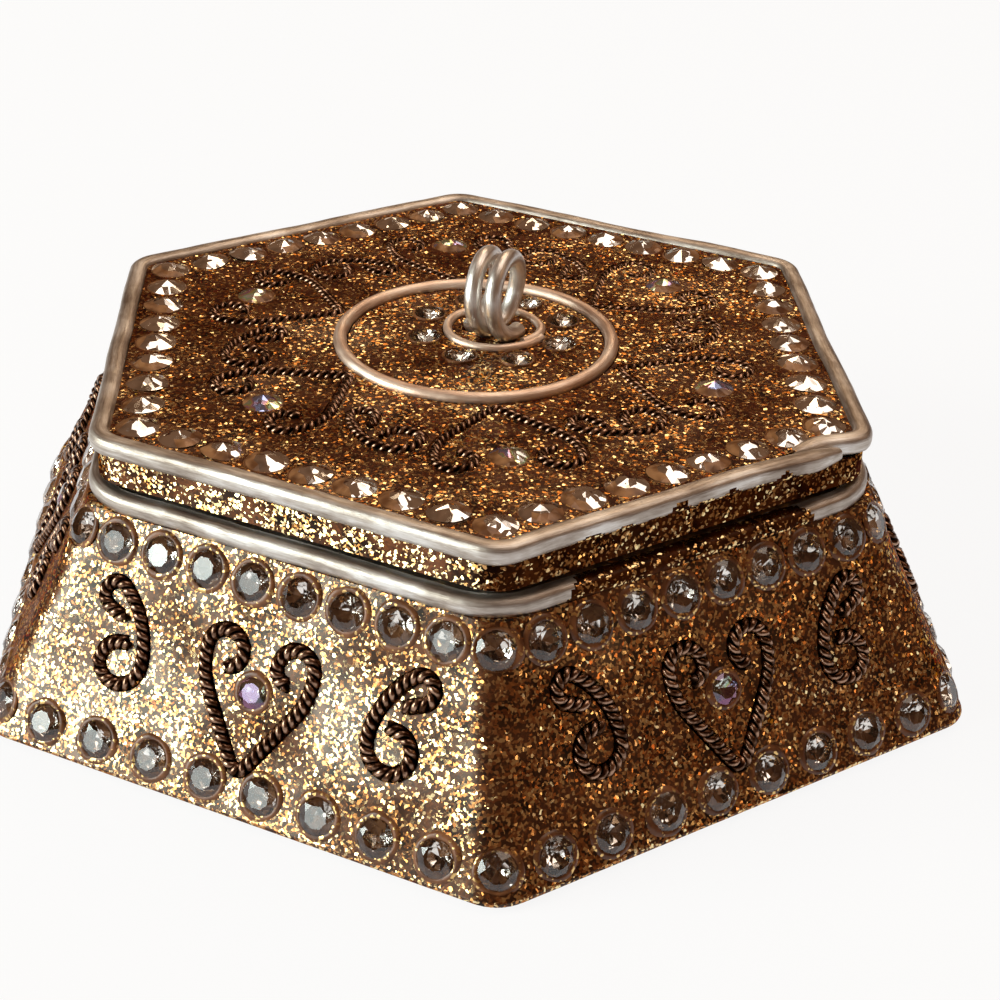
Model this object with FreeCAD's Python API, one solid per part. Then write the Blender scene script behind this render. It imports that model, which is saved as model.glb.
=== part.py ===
import FreeCAD, Part
import math
import os

# A six-sided trinket box: a tapered tin with a lift-off lid, both coated in lac and set with glass
# stones and twisted wire. Millimetres, +Z up, origin on the table under the middle of the box.

# Tin and lac of the base
sides = 6
foot_across_flats = 79.3      # over the lac at table level, before its edges are rounded
mouth_across_flats = 61.5     # over the lac at its mouth
base_height = 18.1            # table to the lac's mouth edge
base_lac_thickness = 1.8
tin_thickness = 0.6
tin_bend = 0.85               # inside bend of the collar's corners, which the outer layers follow
foot_gap = 0.3                # lac's lower edge above the table
foot_round = 0.4              # rounding of the lac's lower edge
tin_edge_drop = 0.5           # tin's edge below the lac's mouth
bed_gap = 0.05                # play round every bedded, set or nested piece
overrun = 1.0                 # how far cutting shapes run past the surfaces that they cut

# Collar and the lid that slips over it
collar_depth = 5.0            # how far the collar reaches down inside the tin
lid_fit = 0.3                 # play between collar and lid skirt
lid_gap = 0.5                 # open gap between rim wire and lid skirt
skirt_depth = 1.85            # inside depth of the lid
skirt_lac_thickness = 0.9
lid_lac_thickness = 1.05

# Plain aluminium wires
edge_wire = 1.7               # wire round the mouth and round the lid's edge
rim_wire_inset = 0.8          # rim wire's centre inside the lac's mouth edge
rim_wire_sink = 0.3
rim_wire_bend = 6.0
lid_wire_overhang = 0.3       # lid wire's centre inside the skirt lac's outer face
lid_wire_sink = 0.2
lid_wire_bend = 2.4
outer_ring_wire = 1.2
outer_ring_radius = 11.4
inner_ring_wire = 0.8
inner_ring_radius = 4.0
wire_bed_share = 0.4          # part of a bedded wire's thickness that lies below the lac
pattern_shift = (-0.2, 0.5)   # middle of the lid's outer ring and scrolls from the lid's middle
pattern_turn = 4              # degrees that the lid's scrolls are turned past its corners

# Knob coil
knob_wire = 1.45
knob_radius = 3.2             # to the middle of the wire
knob_turns = 2
knob_turn_gap = 0.5
knob_sink = 0.55              # how deep the coil's lower bend lies in the lac
knob_shift = (0.1, 3.2)       # middle of the coil and the inner ring from the lid's middle

# Stones
facets = 8
row_stone = 3.3
upper_row_gap = 0.75          # between neighbours
upper_row_drop = 2.05         # mouth edge to the row, along the slope
lower_row_gap = 1.5
lower_row_rise = 2.95         # table line to the row, along the slope
corner_stone_sink = 0.3
border_stone = 3.4
border_gap = 0.35
border_inset = 0.35           # lid wire to the border stones
base_aurora_stone = 2.8
lid_aurora_stone = 3.2
centre_stone = 2.8
centre_stones = 8
centre_gap = 0.4              # inner ring to the stones round it
table_share = 0.55            # of the stone's width
crown_share = 0.2             # of the stone's width
girdle_share = 0.05           # of the stone's width
seat_depth_share = 0.75       # of the lac's thickness

# Twisted wire scrolls, each a chain of tangent runs: turn in degrees, with radius or length as a share
# of the scroll's height
scroll_wire = 1.15
base_horn_share = 0.98        # horn's height, of the free field between the stone rows
base_horn_dip = 0.9           # horn's tip below the tops of the lower stones
base_curl_share = 0.71        # curl's height, of the same field
base_curl_rise = 0.9          # curl's middle above the field's middle
base_curl_offset_share = 0.3  # middle of a curl from the middle of the side, of the side's width
lid_horn_share = 0.88         # horn's height, of the free field between outer ring and border stones
lid_horn_gap = 0.4            # outer ring to the horn's tip
lid_curl_share = 0.43         # curl's height, of the span between the middles of two hearts
lid_scroll_bed_share = 0.6    # part of a lid scroll's thickness that lies below the lac
side_horn_opening = 57        # degrees by which an arm rises where it leaves the tip
lid_horn_opening = 48
horn_arm_lean = 95            # degrees by which an arm has risen where its loop begins
horn_loop_turns = (180, 90)
horn_tip_share = 0.675        # bend at the horn's tip, of the wire's thickness
horn_turn_shares = (0.54, 0.52, 0.148, 0.105)
horn_stone_share = 0.56       # stone's place along a side's horn
lid_horn_stone_share = 0.75   # stone's place along a lid's horn
curl_turns = (0, -160, -104, -50, -196, 0)
curl_turn_shares = (0.115, 0.219, 0.28, 0.972, 0.146, 0.17)
curl_start_heading = -20
curl_start_shares = (-0.13, -0.05)
curl_tilt = 12                # degrees that a side's curls lean to each other

# Values worked out from the sizes above
turn = 360 / sides
half_turn = math.radians(turn / 2)
front = -90
slope = (foot_across_flats - mouth_across_flats) / 2 / base_height
lean = math.atan(slope)
slant = base_height / math.cos(lean)
tin_inset = base_lac_thickness + bed_gap
collar_inset = tin_inset + tin_thickness + bed_gap
collar_bend = tin_bend + tin_thickness
tin_outer_bend = collar_bend + tin_thickness + bed_gap
lac_bend = tin_outer_bend + base_lac_thickness + bed_gap


def apothem(inset, z):
    """Half width across flats, at a height, of the layer inset squarely from the lac's sides."""
    return foot_across_flats / 2 - slope * z - inset / math.cos(lean)


neck_apothem = apothem(collar_inset, base_height)
rim_wire_apothem = mouth_across_flats / 2 - rim_wire_inset
rim_wire_z = base_height + edge_wire / 2 - rim_wire_sink
skirt_z = rim_wire_z + edge_wire / 2 + lid_gap
plate_z = skirt_z + skirt_depth
plate_top = plate_z + tin_thickness
skirt_inner = neck_apothem + lid_fit
skirt_outer = skirt_inner + tin_thickness
skirt_bend = collar_bend + lid_fit
skirt_lac_inner = skirt_outer + bed_gap
skirt_lac_outer = skirt_lac_inner + skirt_lac_thickness
lid_wire_apothem = skirt_lac_outer - lid_wire_overhang
lid_wire_z = plate_top + edge_wire / 2 - lid_wire_sink
lid_top = plate_top + bed_gap + lid_lac_thickness
border_apothem = lid_wire_apothem - edge_wire / 2 - border_inset - border_stone / 2
lid_middle = FreeCAD.Vector()
pattern_middle = FreeCAD.Vector(*pattern_shift, 0)
knob_middle = FreeCAD.Vector(*knob_shift, 0)
base_field = slant - upper_row_drop - lower_row_rise - row_stone
lid_field = border_apothem - border_stone / 2 - outer_ring_radius - outer_ring_wire / 2
middle_side = 2 * apothem(0, base_height / 2) * math.tan(half_turn)


def toward(degrees):
    """Level unit vector at a bearing."""
    return FreeCAD.Vector(math.cos(math.radians(degrees)), math.sin(math.radians(degrees)), 0)


def spoke(degrees, radius, z):
    """Point at a bearing and a distance from the box's upright axis."""
    return toward(degrees) * radius + FreeCAD.Vector(0, 0, z)


def corner_bearing(side):
    """Bearing of the corner to the right of a side, seen from outside."""
    return front + turn * (side + 1 / 2)


def frame_at(point, right, up):
    """Placement that lays local X along right and local Y along up."""
    out = right.cross(up)
    columns = (right, up, out, point)
    rows = [[column[i] for column in columns] for i in range(3)]
    return FreeCAD.Placement(FreeCAD.Matrix(*rows[0], *rows[1], *rows[2]))


def lay(shape, place):
    """Copy of a shape at a placement."""
    return shape.transformed(place.toMatrix(), True)


# Layers of the box


def stacked(rings):
    """Solid with flat faces between rings of corner points; a ring of one point is a tip."""
    ends = [ring for ring in (rings[0][::-1], rings[-1]) if len(ring) > 1]
    faces = [Part.Face(Part.makePolygon(ring + ring[:1])) for ring in ends]
    for low, high in zip(rings, rings[1:]):
        for i in range(len(low)):
            j = (i + 1) % len(low)
            outline = [low[i], low[j]] + ([high[j], high[i]] if len(high) > 1 else high)
            faces.append(Part.Face(Part.makePolygon(outline + outline[:1])))
    shell = Part.Shell(faces)
    shell.sewShape()
    solid = Part.Solid(shell)
    if solid.Volume < 0:
        solid.reverse()
    return solid


def tapered_block(inset, low, high, bend):
    """Block between two heights whose sides lie inset from the lac's sides, with bent corners."""
    rings = []
    for z in (low, high):
        radius = apothem(inset, z) / math.cos(half_turn)
        rings.append([spoke(corner_bearing(side), radius, z) for side in range(sides)])
    block = stacked(rings)
    slanted = [edge for edge in block.Edges if edge.Vertexes[0].Z != edge.Vertexes[1].Z]
    return block.makeFillet(bend, slanted).Solids[0]


def hexagon(across, bend, z):
    """Edges of a closed outline with bent corners, from its half width across flats."""
    edges = []
    reach = (across - bend) * math.tan(half_turn)
    for side in range(sides):
        bearing = front + turn * side
        start = spoke(bearing, across, z) - toward(bearing + 90) * reach
        end = spoke(bearing, across, z) + toward(bearing + 90) * reach
        edges.append(Part.LineSegment(start, end).toShape())
        bow = spoke(corner_bearing(side), (across - bend) / math.cos(half_turn) + bend, z)
        onward = spoke(bearing + turn, across, z) - toward(bearing + turn + 90) * reach
        edges.append(Part.Arc(end, bow, onward).toShape())
    return edges


def prism(across, bend, low, high):
    """Upright block with bent corners."""
    return Part.Face(Part.Wire(hexagon(across, bend, low))).extrude(FreeCAD.Vector(0, 0, high - low))


def make_base_shell():
    outer = tapered_block(tin_inset, 0, base_height - tin_edge_drop, tin_outer_bend)
    inner_bend = tin_outer_bend - tin_thickness
    inner = tapered_block(tin_inset + tin_thickness, tin_thickness, base_height, inner_bend)
    return outer.cut(inner)


def make_base_collar():
    low = base_height - collar_depth
    levels = ((low, apothem(collar_inset, low)), (base_height, neck_apothem), (plate_z, neck_apothem))
    wall = tin_thickness / math.cos(lean)
    outer = [Part.Wire(hexagon(across, collar_bend, z)) for z, across in levels]
    inner = [Part.Wire(hexagon(across - wall, tin_bend, z)) for z, across in levels]
    return Part.makeLoft(outer, True, True).cut(Part.makeLoft(inner, True, True))


# Wires


def tube(edges, thickness):
    """Round wire along a chain of tangent edges."""
    start = edges[0].valueAt(edges[0].FirstParameter)
    ahead = edges[0].tangentAt(edges[0].FirstParameter)
    ring = Part.Wire(Part.makeCircle(thickness / 2, start, ahead))
    return Part.Wire(edges).makePipeShell([ring], True, False)


def ring_wire(middle, radius, thickness, extra):
    """Flat ring bedded in the lid's lac."""
    lift = FreeCAD.Vector(0, 0, lid_top + thickness * (1 / 2 - wire_bed_share))
    return Part.makeTorus(radius, thickness / 2 + extra, middle + lift)


def biarc(start, ahead, end, beyond):
    """Two tangent arcs that join two points with their headings."""
    chord = end - start
    both = ahead + beyond
    bend = 2 * (1 - ahead.dot(beyond))
    reach = (math.sqrt(chord.dot(both) ** 2 + bend * chord.dot(chord)) - chord.dot(both)) / bend
    first_knee = start + ahead * reach
    last_knee = end - beyond * reach
    meeting = (first_knee + last_knee) / 2
    arcs = []
    for low, knee, high in ((start, first_knee, meeting), (meeting, last_knee, end)):
        weight = (high - low).Length / 2 / reach
        bow = (low + knee * 2 * weight + high) / (2 + 2 * weight)
        arcs.append(Part.Arc(low, bow, high).toShape())
    return arcs


def coil_point(swing):
    """Point and heading on the knob's winding; a swing of zero is the bottom of its first turn."""
    pitch = knob_wire + knob_turn_gap
    lead = pitch / (2 * math.pi)
    heart = lid_top - knob_sink + knob_wire / 2 + knob_radius
    x = lead * (swing - math.pi * knob_turns)
    point = FreeCAD.Vector(x, knob_radius * math.sin(swing), heart - knob_radius * math.cos(swing))
    heading = FreeCAD.Vector(lead, knob_radius * math.cos(swing), knob_radius * math.sin(swing))
    return knob_middle + point, heading.normalize()


def coil_path(extra):
    """Winding of quarter turns, with a straight end run of one wire's thickness at each end."""
    quarters = 4 * knob_turns
    stations = [coil_point(2 * math.pi * knob_turns * i / quarters) for i in range(quarters + 1)]
    first, ahead = stations[0]
    last, beyond = stations[-1]
    edges = [Part.LineSegment(first - ahead * (knob_wire + extra), first).toShape()]
    for (start, out), (end, on) in zip(stations, stations[1:]):
        edges += biarc(start, out, end, on)
    edges.append(Part.LineSegment(last, last + beyond * (knob_wire + extra)).toShape())
    return edges


def least_coil_gap():
    """Least gap of the winding to itself, measured on points along its wire."""
    points = []
    for edge in coil_path(0):
        points += edge.discretize(Number=12)[:-1]
    lengths = [0]
    for low, high in zip(points, points[1:]):
        lengths.append(lengths[-1] + (high - low).Length)
    apart = math.pi * knob_radius
    pairs = [(points[i] - points[j]).Length for i in range(len(points)) for j in range(i)
             if lengths[i] - lengths[j] > apart]
    return min(pairs) - knob_wire


# Scrolls


def chain(start, heading, turns, sizes):
    """Tangent arcs and straight runs in the local XY plane, and the point and heading at their end."""
    edges = []
    point = start
    for swing, size in zip(turns, sizes):
        ahead = toward(heading)
        if swing == 0:
            end = point + ahead * size
            edges.append(Part.LineSegment(point, end).toShape())
        else:
            pivot = point + toward(heading + 90) * math.copysign(size, swing)
            spin = FreeCAD.Rotation(FreeCAD.Vector(0, 0, 1), swing)
            half_spin = FreeCAD.Rotation(FreeCAD.Vector(0, 0, 1), swing / 2)
            end = pivot + spin.multVec(point - pivot)
            edges.append(Part.Arc(point, pivot + half_spin.multVec(point - pivot), end).toShape())
        point = end
        heading += swing
    return edges, point, heading


def lengthened(edges, extra):
    """The same chain with a short straight run added at both ends."""
    if extra == 0:
        return edges
    first, last = edges[0], edges[-1]
    start = first.valueAt(first.FirstParameter)
    end = last.valueAt(last.LastParameter)
    before = start - first.tangentAt(first.FirstParameter) * extra
    beyond = end + last.tangentAt(last.LastParameter) * extra
    return [Part.LineSegment(before, start).toShape()] + edges + [Part.LineSegment(end, beyond).toShape()]


def horn(height, opening, extra):
    """Heart of twisted wire with its tip at the local origin, opening along +Y."""
    rise = height - scroll_wire
    turns = (opening, 0, horn_arm_lean - opening) + horn_loop_turns
    sizes = [horn_tip_share * scroll_wire] + [share * rise for share in horn_turn_shares]
    middle = FreeCAD.Vector(0, scroll_wire / 2, 0)
    tip = chain(middle, 0, turns, sizes)[1]
    start = FreeCAD.Vector(-tip.x, tip.y, 0)
    edges = chain(start, -sum(turns), turns[::-1] + turns, sizes[::-1] + sizes)[0]
    return tube(lengthened(edges, extra), scroll_wire + 2 * extra)


def side_horn(height, extra):
    return horn(height, side_horn_opening, extra)


def lid_horn(height, extra):
    return horn(height, lid_horn_opening, extra)


def curl(height, extra):
    """Curl of twisted wire about the local origin, its open side towards +X."""
    rise = height - scroll_wire
    sizes = [share * rise for share in curl_turn_shares]
    start = FreeCAD.Vector(curl_start_shares[0] * rise, curl_start_shares[1] * rise, 0)
    edges = chain(start, curl_start_heading, curl_turns, sizes)[0]
    return tube(lengthened(edges, extra), scroll_wire + 2 * extra)


def left_curl(height, extra):
    """The same curl seen in a mirror, its open side towards -X."""
    return curl(height, extra).mirror(FreeCAD.Vector(), FreeCAD.Vector(1, 0, 0))


# Stones


def stone(width, lac):
    """Faceted stone with its girdle's upper edge in the local XY plane, and the seat cut for it."""
    depth = lac * seat_depth_share
    girdle = width * girdle_share
    levels = ((width * table_share / 2, width * crown_share), (width / 2, 0), (width / 2, -girdle))
    rings = [[spoke(360 * (i + 1 / 2) / facets, radius, z) for i in range(facets)] for radius, z in levels]
    gem = stacked(rings + [[FreeCAD.Vector(0, 0, -depth)]])
    wide = width / 2 + bed_gap
    down = FreeCAD.Vector(0, 0, -1)
    mouth = Part.makeCylinder(wide, girdle + overrun, FreeCAD.Vector(0, 0, -girdle))
    cone = Part.makeCone(wide, bed_gap, depth - girdle + bed_gap, FreeCAD.Vector(0, 0, -girdle), down)
    return gem, mouth.fuse(cone)


def side_place(side, across, up):
    """Placement on a sloping side: across from its middle, up along the slope from the table."""
    right = toward(front + turn * side + 90)
    rise = spoke(front + turn * side + 180, math.sin(lean), math.cos(lean))
    point = spoke(front + turn * side, foot_across_flats / 2, 0) + right * across + rise * up
    return frame_at(point, right, rise)


def corner_place(side, up):
    """Placement on the rounded corner to the right of a side, level with a row on the side."""
    tilt = math.atan(math.tan(lean) / math.cos(half_turn))
    between = math.cos(lean) ** 2 * math.cos(2 * half_turn) + math.sin(lean) ** 2
    inward = lac_bend * (1 / math.cos(math.acos(between) / 2) - 1) + corner_stone_sink
    bearing = corner_bearing(side)
    z = up * math.cos(lean) + inward * math.sin(tilt)
    outward = spoke(bearing, math.cos(tilt), math.sin(tilt))
    point = spoke(bearing, apothem(0, z) / math.cos(half_turn), z) - outward * inward
    return frame_at(point, toward(bearing + 90), spoke(bearing + 180, math.sin(tilt), math.cos(tilt)))


def row_places(side, up, gap):
    """Places of a row of stones along a side, ending with the one on its right-hand corner."""
    width = 2 * apothem(0, up * math.cos(lean)) * math.tan(half_turn)
    count = math.floor(width / (row_stone + gap))
    places = [side_place(side, width * (i / count - 1 / 2), up) for i in range(1, count)]
    return places + [corner_place(side, up)]


def lid_place(middle, bearing, radius, across):
    """Placement on the lid's lac, with local Y pointing away from a middle."""
    point = middle + spoke(bearing, radius, lid_top) + toward(bearing - 90) * across
    return frame_at(point, toward(bearing - 90), toward(bearing))


def border_places(side):
    """Places of the lid's border stones along a side, ending with the one in its right-hand corner."""
    width = 2 * border_apothem * math.tan(half_turn)
    count = math.floor(width / (border_stone + border_gap))
    steps = [width * (1 / 2 - i / count) for i in range(1, count + 1)]
    return [lid_place(lid_middle, front + turn * side, border_apothem, across) for across in steps]


# Making the pieces

pieces = {}
base_seats = []
lid_seats = []


def set_stones(name, width, lac, places, seats):
    """Stones of one kind at their places, with their seats noted for the lac."""
    gem, seat = stone(width, lac)
    pieces[name] = Part.Compound([lay(gem, place) for place in places])
    seats += [lay(seat, place) for place in places]


def bed_scrolls(name, height, bed_share, scrolls, seats):
    """Scrolls laid into the lac, each a form and its place, with their beds noted for the lac."""
    lift = FreeCAD.Vector(0, 0, scroll_wire * (1 / 2 - bed_share))
    rise = FreeCAD.Placement(lift, FreeCAD.Rotation())
    pieces[name] = Part.Compound([lay(form(height, 0), place.multiply(rise)) for form, place in scrolls])
    seats += [lay(form(height, bed_gap), place.multiply(rise)) for form, place in scrolls]


def turned(place, degrees):
    """Placement turned in its own plane."""
    spin = FreeCAD.Rotation(FreeCAD.Vector(0, 0, 1), degrees)
    return place.multiply(FreeCAD.Placement(FreeCAD.Vector(), spin))


horn_height = base_field * base_horn_share
horn_foot = lower_row_rise + row_stone / 2 - base_horn_dip
curl_height = base_field * base_curl_share
curl_middle = lower_row_rise + row_stone / 2 + base_field / 2 + base_curl_rise
lid_horn_start = outer_ring_radius + outer_ring_wire / 2 + lid_horn_gap
lid_horn_height = lid_field * lid_horn_share
lid_curl_radius = outer_ring_radius + outer_ring_wire / 2 + lid_field / 2
lid_curl_height = 2 * lid_curl_radius * math.sin(half_turn) * lid_curl_share

pieces["base_shell"] = make_base_shell()
pieces["base_collar"] = make_base_collar()
pieces["base_rim_wire"] = tube(hexagon(rim_wire_apothem, rim_wire_bend, rim_wire_z), edge_wire)

base_aurora_places = []
lid_aurora_places = []
for side in range(sides):
    number = str(side + 1)
    set_stones("base_upper_stones_" + number, row_stone, base_lac_thickness,
               row_places(side, slant - upper_row_drop, upper_row_gap), base_seats)
    set_stones("base_lower_stones_" + number, row_stone, base_lac_thickness,
               row_places(side, lower_row_rise, lower_row_gap), base_seats)
    horns = [(side_horn, side_place(side, 0, horn_foot))]
    bed_scrolls("base_horn_" + number, horn_height, wire_bed_share, horns, base_seats)
    reach = middle_side * base_curl_offset_share
    curls = [(curl, turned(side_place(side, reach, curl_middle), curl_tilt)),
             (left_curl, turned(side_place(side, -reach, curl_middle), -curl_tilt))]
    bed_scrolls("base_curls_" + number, curl_height, wire_bed_share, curls, base_seats)
    base_aurora_places.append(side_place(side, 0, horn_foot + horn_height * horn_stone_share))

    set_stones("lid_border_stones_" + number, border_stone, lid_lac_thickness,
               border_places(side), lid_seats)
    bearing = corner_bearing(side) + pattern_turn
    horns = [(lid_horn, lid_place(pattern_middle, bearing, lid_horn_start, 0))]
    bed_scrolls("lid_horn_" + number, lid_horn_height, lid_scroll_bed_share, horns, lid_seats)
    stone_radius = lid_horn_start + lid_horn_height * lid_horn_stone_share
    lid_aurora_places.append(lid_place(pattern_middle, bearing, stone_radius, 0))
    flat = lid_place(pattern_middle, front + turn * side + pattern_turn, lid_curl_radius, 0)
    curls = [(curl, turned(flat, -90))]
    bed_scrolls("lid_curl_" + number, lid_curl_height, lid_scroll_bed_share, curls, lid_seats)

set_stones("base_aurora_stones", base_aurora_stone, base_lac_thickness, base_aurora_places, base_seats)
set_stones("lid_aurora_stones", lid_aurora_stone, lid_lac_thickness, lid_aurora_places, lid_seats)
centre_radius = inner_ring_radius + inner_ring_wire / 2 + centre_gap + centre_stone / 2
centre_bearings = [360 * i / centre_stones for i in range(centre_stones)]
centre_places = [lid_place(knob_middle, bearing, centre_radius, 0) for bearing in centre_bearings]
set_stones("lid_centre_stones", centre_stone, lid_lac_thickness, centre_places, lid_seats)

pieces["lid_outer_ring"] = ring_wire(pattern_middle, outer_ring_radius, outer_ring_wire, 0)
pieces["lid_inner_ring"] = ring_wire(knob_middle, inner_ring_radius, inner_ring_wire, 0)
pieces["knob_coil"] = tube(coil_path(0), knob_wire)
lid_seats.append(ring_wire(pattern_middle, outer_ring_radius, outer_ring_wire, bed_gap))
lid_seats.append(ring_wire(knob_middle, inner_ring_radius, inner_ring_wire, bed_gap))
lid_seats.append(tube(coil_path(bed_gap), knob_wire + 2 * bed_gap))

coat = tapered_block(0, foot_gap, base_height, lac_bend)
foot_edges = [edge for edge in coat.Edges if edge.BoundBox.ZMax < foot_gap + bed_gap]
coat = coat.makeFillet(foot_round, foot_edges).Solids[0]
tin_room_top = base_height - tin_edge_drop + bed_gap
tin_room = tapered_block(base_lac_thickness, 0, tin_room_top, tin_outer_bend + bed_gap)
collar_room = tapered_block(collar_inset - bed_gap, 0, base_height + overrun, collar_bend + bed_gap)
wire_room = tube(hexagon(rim_wire_apothem, rim_wire_bend, rim_wire_z), edge_wire + 2 * bed_gap)
pieces["base_lac_coat"] = coat.cut([tin_room, collar_room, wire_room]).cut(base_seats)

lid_shell = prism(skirt_outer, skirt_bend + tin_thickness, skirt_z, plate_top)
pieces["lid_shell"] = lid_shell.cut(prism(skirt_inner, skirt_bend, skirt_z - overrun, plate_z))
pieces["lid_edge_wire"] = tube(hexagon(lid_wire_apothem, lid_wire_bend, lid_wire_z), edge_wire)
lid_wire_room = tube(hexagon(lid_wire_apothem, lid_wire_bend, lid_wire_z), edge_wire + 2 * bed_gap)
skirt_lac_bend = skirt_bend + tin_thickness + bed_gap
skirt_lac = prism(skirt_lac_outer, skirt_lac_bend + skirt_lac_thickness, skirt_z, plate_top)
skirt_room = prism(skirt_lac_inner, skirt_lac_bend, skirt_z - overrun, plate_top + overrun)
pieces["lid_skirt_lac"] = skirt_lac.cut([skirt_room, lid_wire_room])
top_lac = prism(lid_wire_apothem, lid_wire_bend, plate_top + bed_gap, lid_top)
pieces["lid_top_lac"] = top_lac.cut(lid_wire_room).cut(lid_seats)

os.makedirs("parts", exist_ok=True)
for name, shape in pieces.items():
    shape.exportStep("parts/" + name + ".step")
print("least gap of the knob's turns: %.2f mm" % least_coil_gap())
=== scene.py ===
import math
import random

import bmesh
import bpy
import numpy
from mathutils import Matrix, Vector


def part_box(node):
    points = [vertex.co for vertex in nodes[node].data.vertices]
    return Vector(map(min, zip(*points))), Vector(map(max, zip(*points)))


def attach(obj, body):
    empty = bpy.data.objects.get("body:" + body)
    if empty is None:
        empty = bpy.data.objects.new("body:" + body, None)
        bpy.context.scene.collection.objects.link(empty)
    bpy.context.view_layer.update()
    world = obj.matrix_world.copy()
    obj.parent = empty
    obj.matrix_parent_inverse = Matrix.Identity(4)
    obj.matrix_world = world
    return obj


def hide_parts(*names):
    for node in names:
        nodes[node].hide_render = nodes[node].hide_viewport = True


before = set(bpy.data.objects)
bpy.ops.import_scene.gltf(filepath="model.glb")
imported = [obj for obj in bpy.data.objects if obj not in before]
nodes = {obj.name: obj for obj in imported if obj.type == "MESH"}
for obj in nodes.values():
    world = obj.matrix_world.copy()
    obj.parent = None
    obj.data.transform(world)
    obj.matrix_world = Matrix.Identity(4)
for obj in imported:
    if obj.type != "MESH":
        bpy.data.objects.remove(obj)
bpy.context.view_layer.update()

mm = 0.001

# Pan, collar and cap
# The pan is folded from thin aluminium sheet, with a folded band inside its mouth that carries the lid. The
# lid has a shallow cap of the same sheet. Where it is bare, inside and below, it is dull and a bit stained.


class Shade:
    """A socket of a material. Sums, products and comparisons add Math nodes, and add() lays any other."""

    def __init__(self, tree, socket=None):
        self.tree = tree
        self.socket = socket

    def add(self, kind, settings={}, feeds={}):
        node = self.tree.nodes.new("ShaderNode" + kind)
        for name, value in settings.items():
            if name == "stops":
                while len(node.color_ramp.elements) < len(value):
                    node.color_ramp.elements.new(1)
                for element, (place, colour) in zip(node.color_ramp.elements, value):
                    element.position = place
                    element.color = (*colour, 1)
            else:
                setattr(node, name, value)
        for name, value in feeds.items():
            if isinstance(value, Shade):
                self.tree.links.new(value.socket, node.inputs[name])
            else:
                node.inputs[name].default_value = value
        shown = [socket for socket in node.outputs if socket.enabled]
        return Shade(self.tree, shown[0] if shown else None)

    def out(self, name):
        return Shade(self.tree, self.socket.node.outputs[name])

    def maths(self, operation, first, second):
        return self.add("Math", {"operation": operation}, {0: first, 1: second})

    def __add__(self, other):
        return self.maths("ADD", self, other)

    def __mul__(self, other):
        return self.maths("MULTIPLY", self, other)

    def __gt__(self, other):
        return self.maths("GREATER_THAN", self, other)

    def __lt__(self, other):
        return self.maths("LESS_THAN", self, other)

    __radd__ = __add__
    __rmul__ = __mul__


def new_finish(name):
    """An empty material and the Shade that lays its nodes."""
    material = bpy.data.materials.new(name)
    material.use_nodes = True
    material.node_tree.nodes.clear()
    return material, Shade(material.node_tree)


def coat_with(material, *names):
    """Gives CAD nodes a finish in place of the one that they came with."""
    for name in names:
        nodes[name].data.materials.clear()
        nodes[name].data.materials.append(material)


def bare_sheet():
    """Rolled aluminium: fine lines from the rolls and dull patches."""
    sheet, paint = new_finish("bare_sheet")
    place = paint.add("TexCoord").out("Object")
    rolled = paint.add("Mapping", {}, {"Vector": place, "Scale": (3500, 260, 900)})
    lines = paint.add("TexNoise", {}, {"Vector": rolled, "Scale": 1, "Detail": 3})
    stain = paint.add("TexNoise", {}, {"Vector": place, "Scale": 140, "Detail": 5, "Roughness": 0.62})
    colour = paint.add("ValToRGB", {"stops": (
        (0.3, (0.42, 0.40, 0.37)), (0.62, (0.66, 0.65, 0.63)))}, {"Fac": stain})
    bump = paint.add("Bump", {}, {"Height": lines, "Strength": 0.12, "Distance": 0.02 * mm})
    metal = paint.add("BsdfPrincipled", {}, {
        "Base Color": colour, "Metallic": 1, "Roughness": 0.3 + 0.22 * stain, "Normal": bump})
    paint.add("OutputMaterial", {}, {"Surface": metal})
    return sheet


coat_with(bare_sheet(), "base_shell", "base_collar", "lid_shell")

# Lac
# Dark amber lac, worked on hot over the pan's sides, the lid's top and the lid's skirt. It is full of
# gold glitter: small flakes that lie at all angles under a thin clear skin, so each one flashes by itself.


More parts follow.
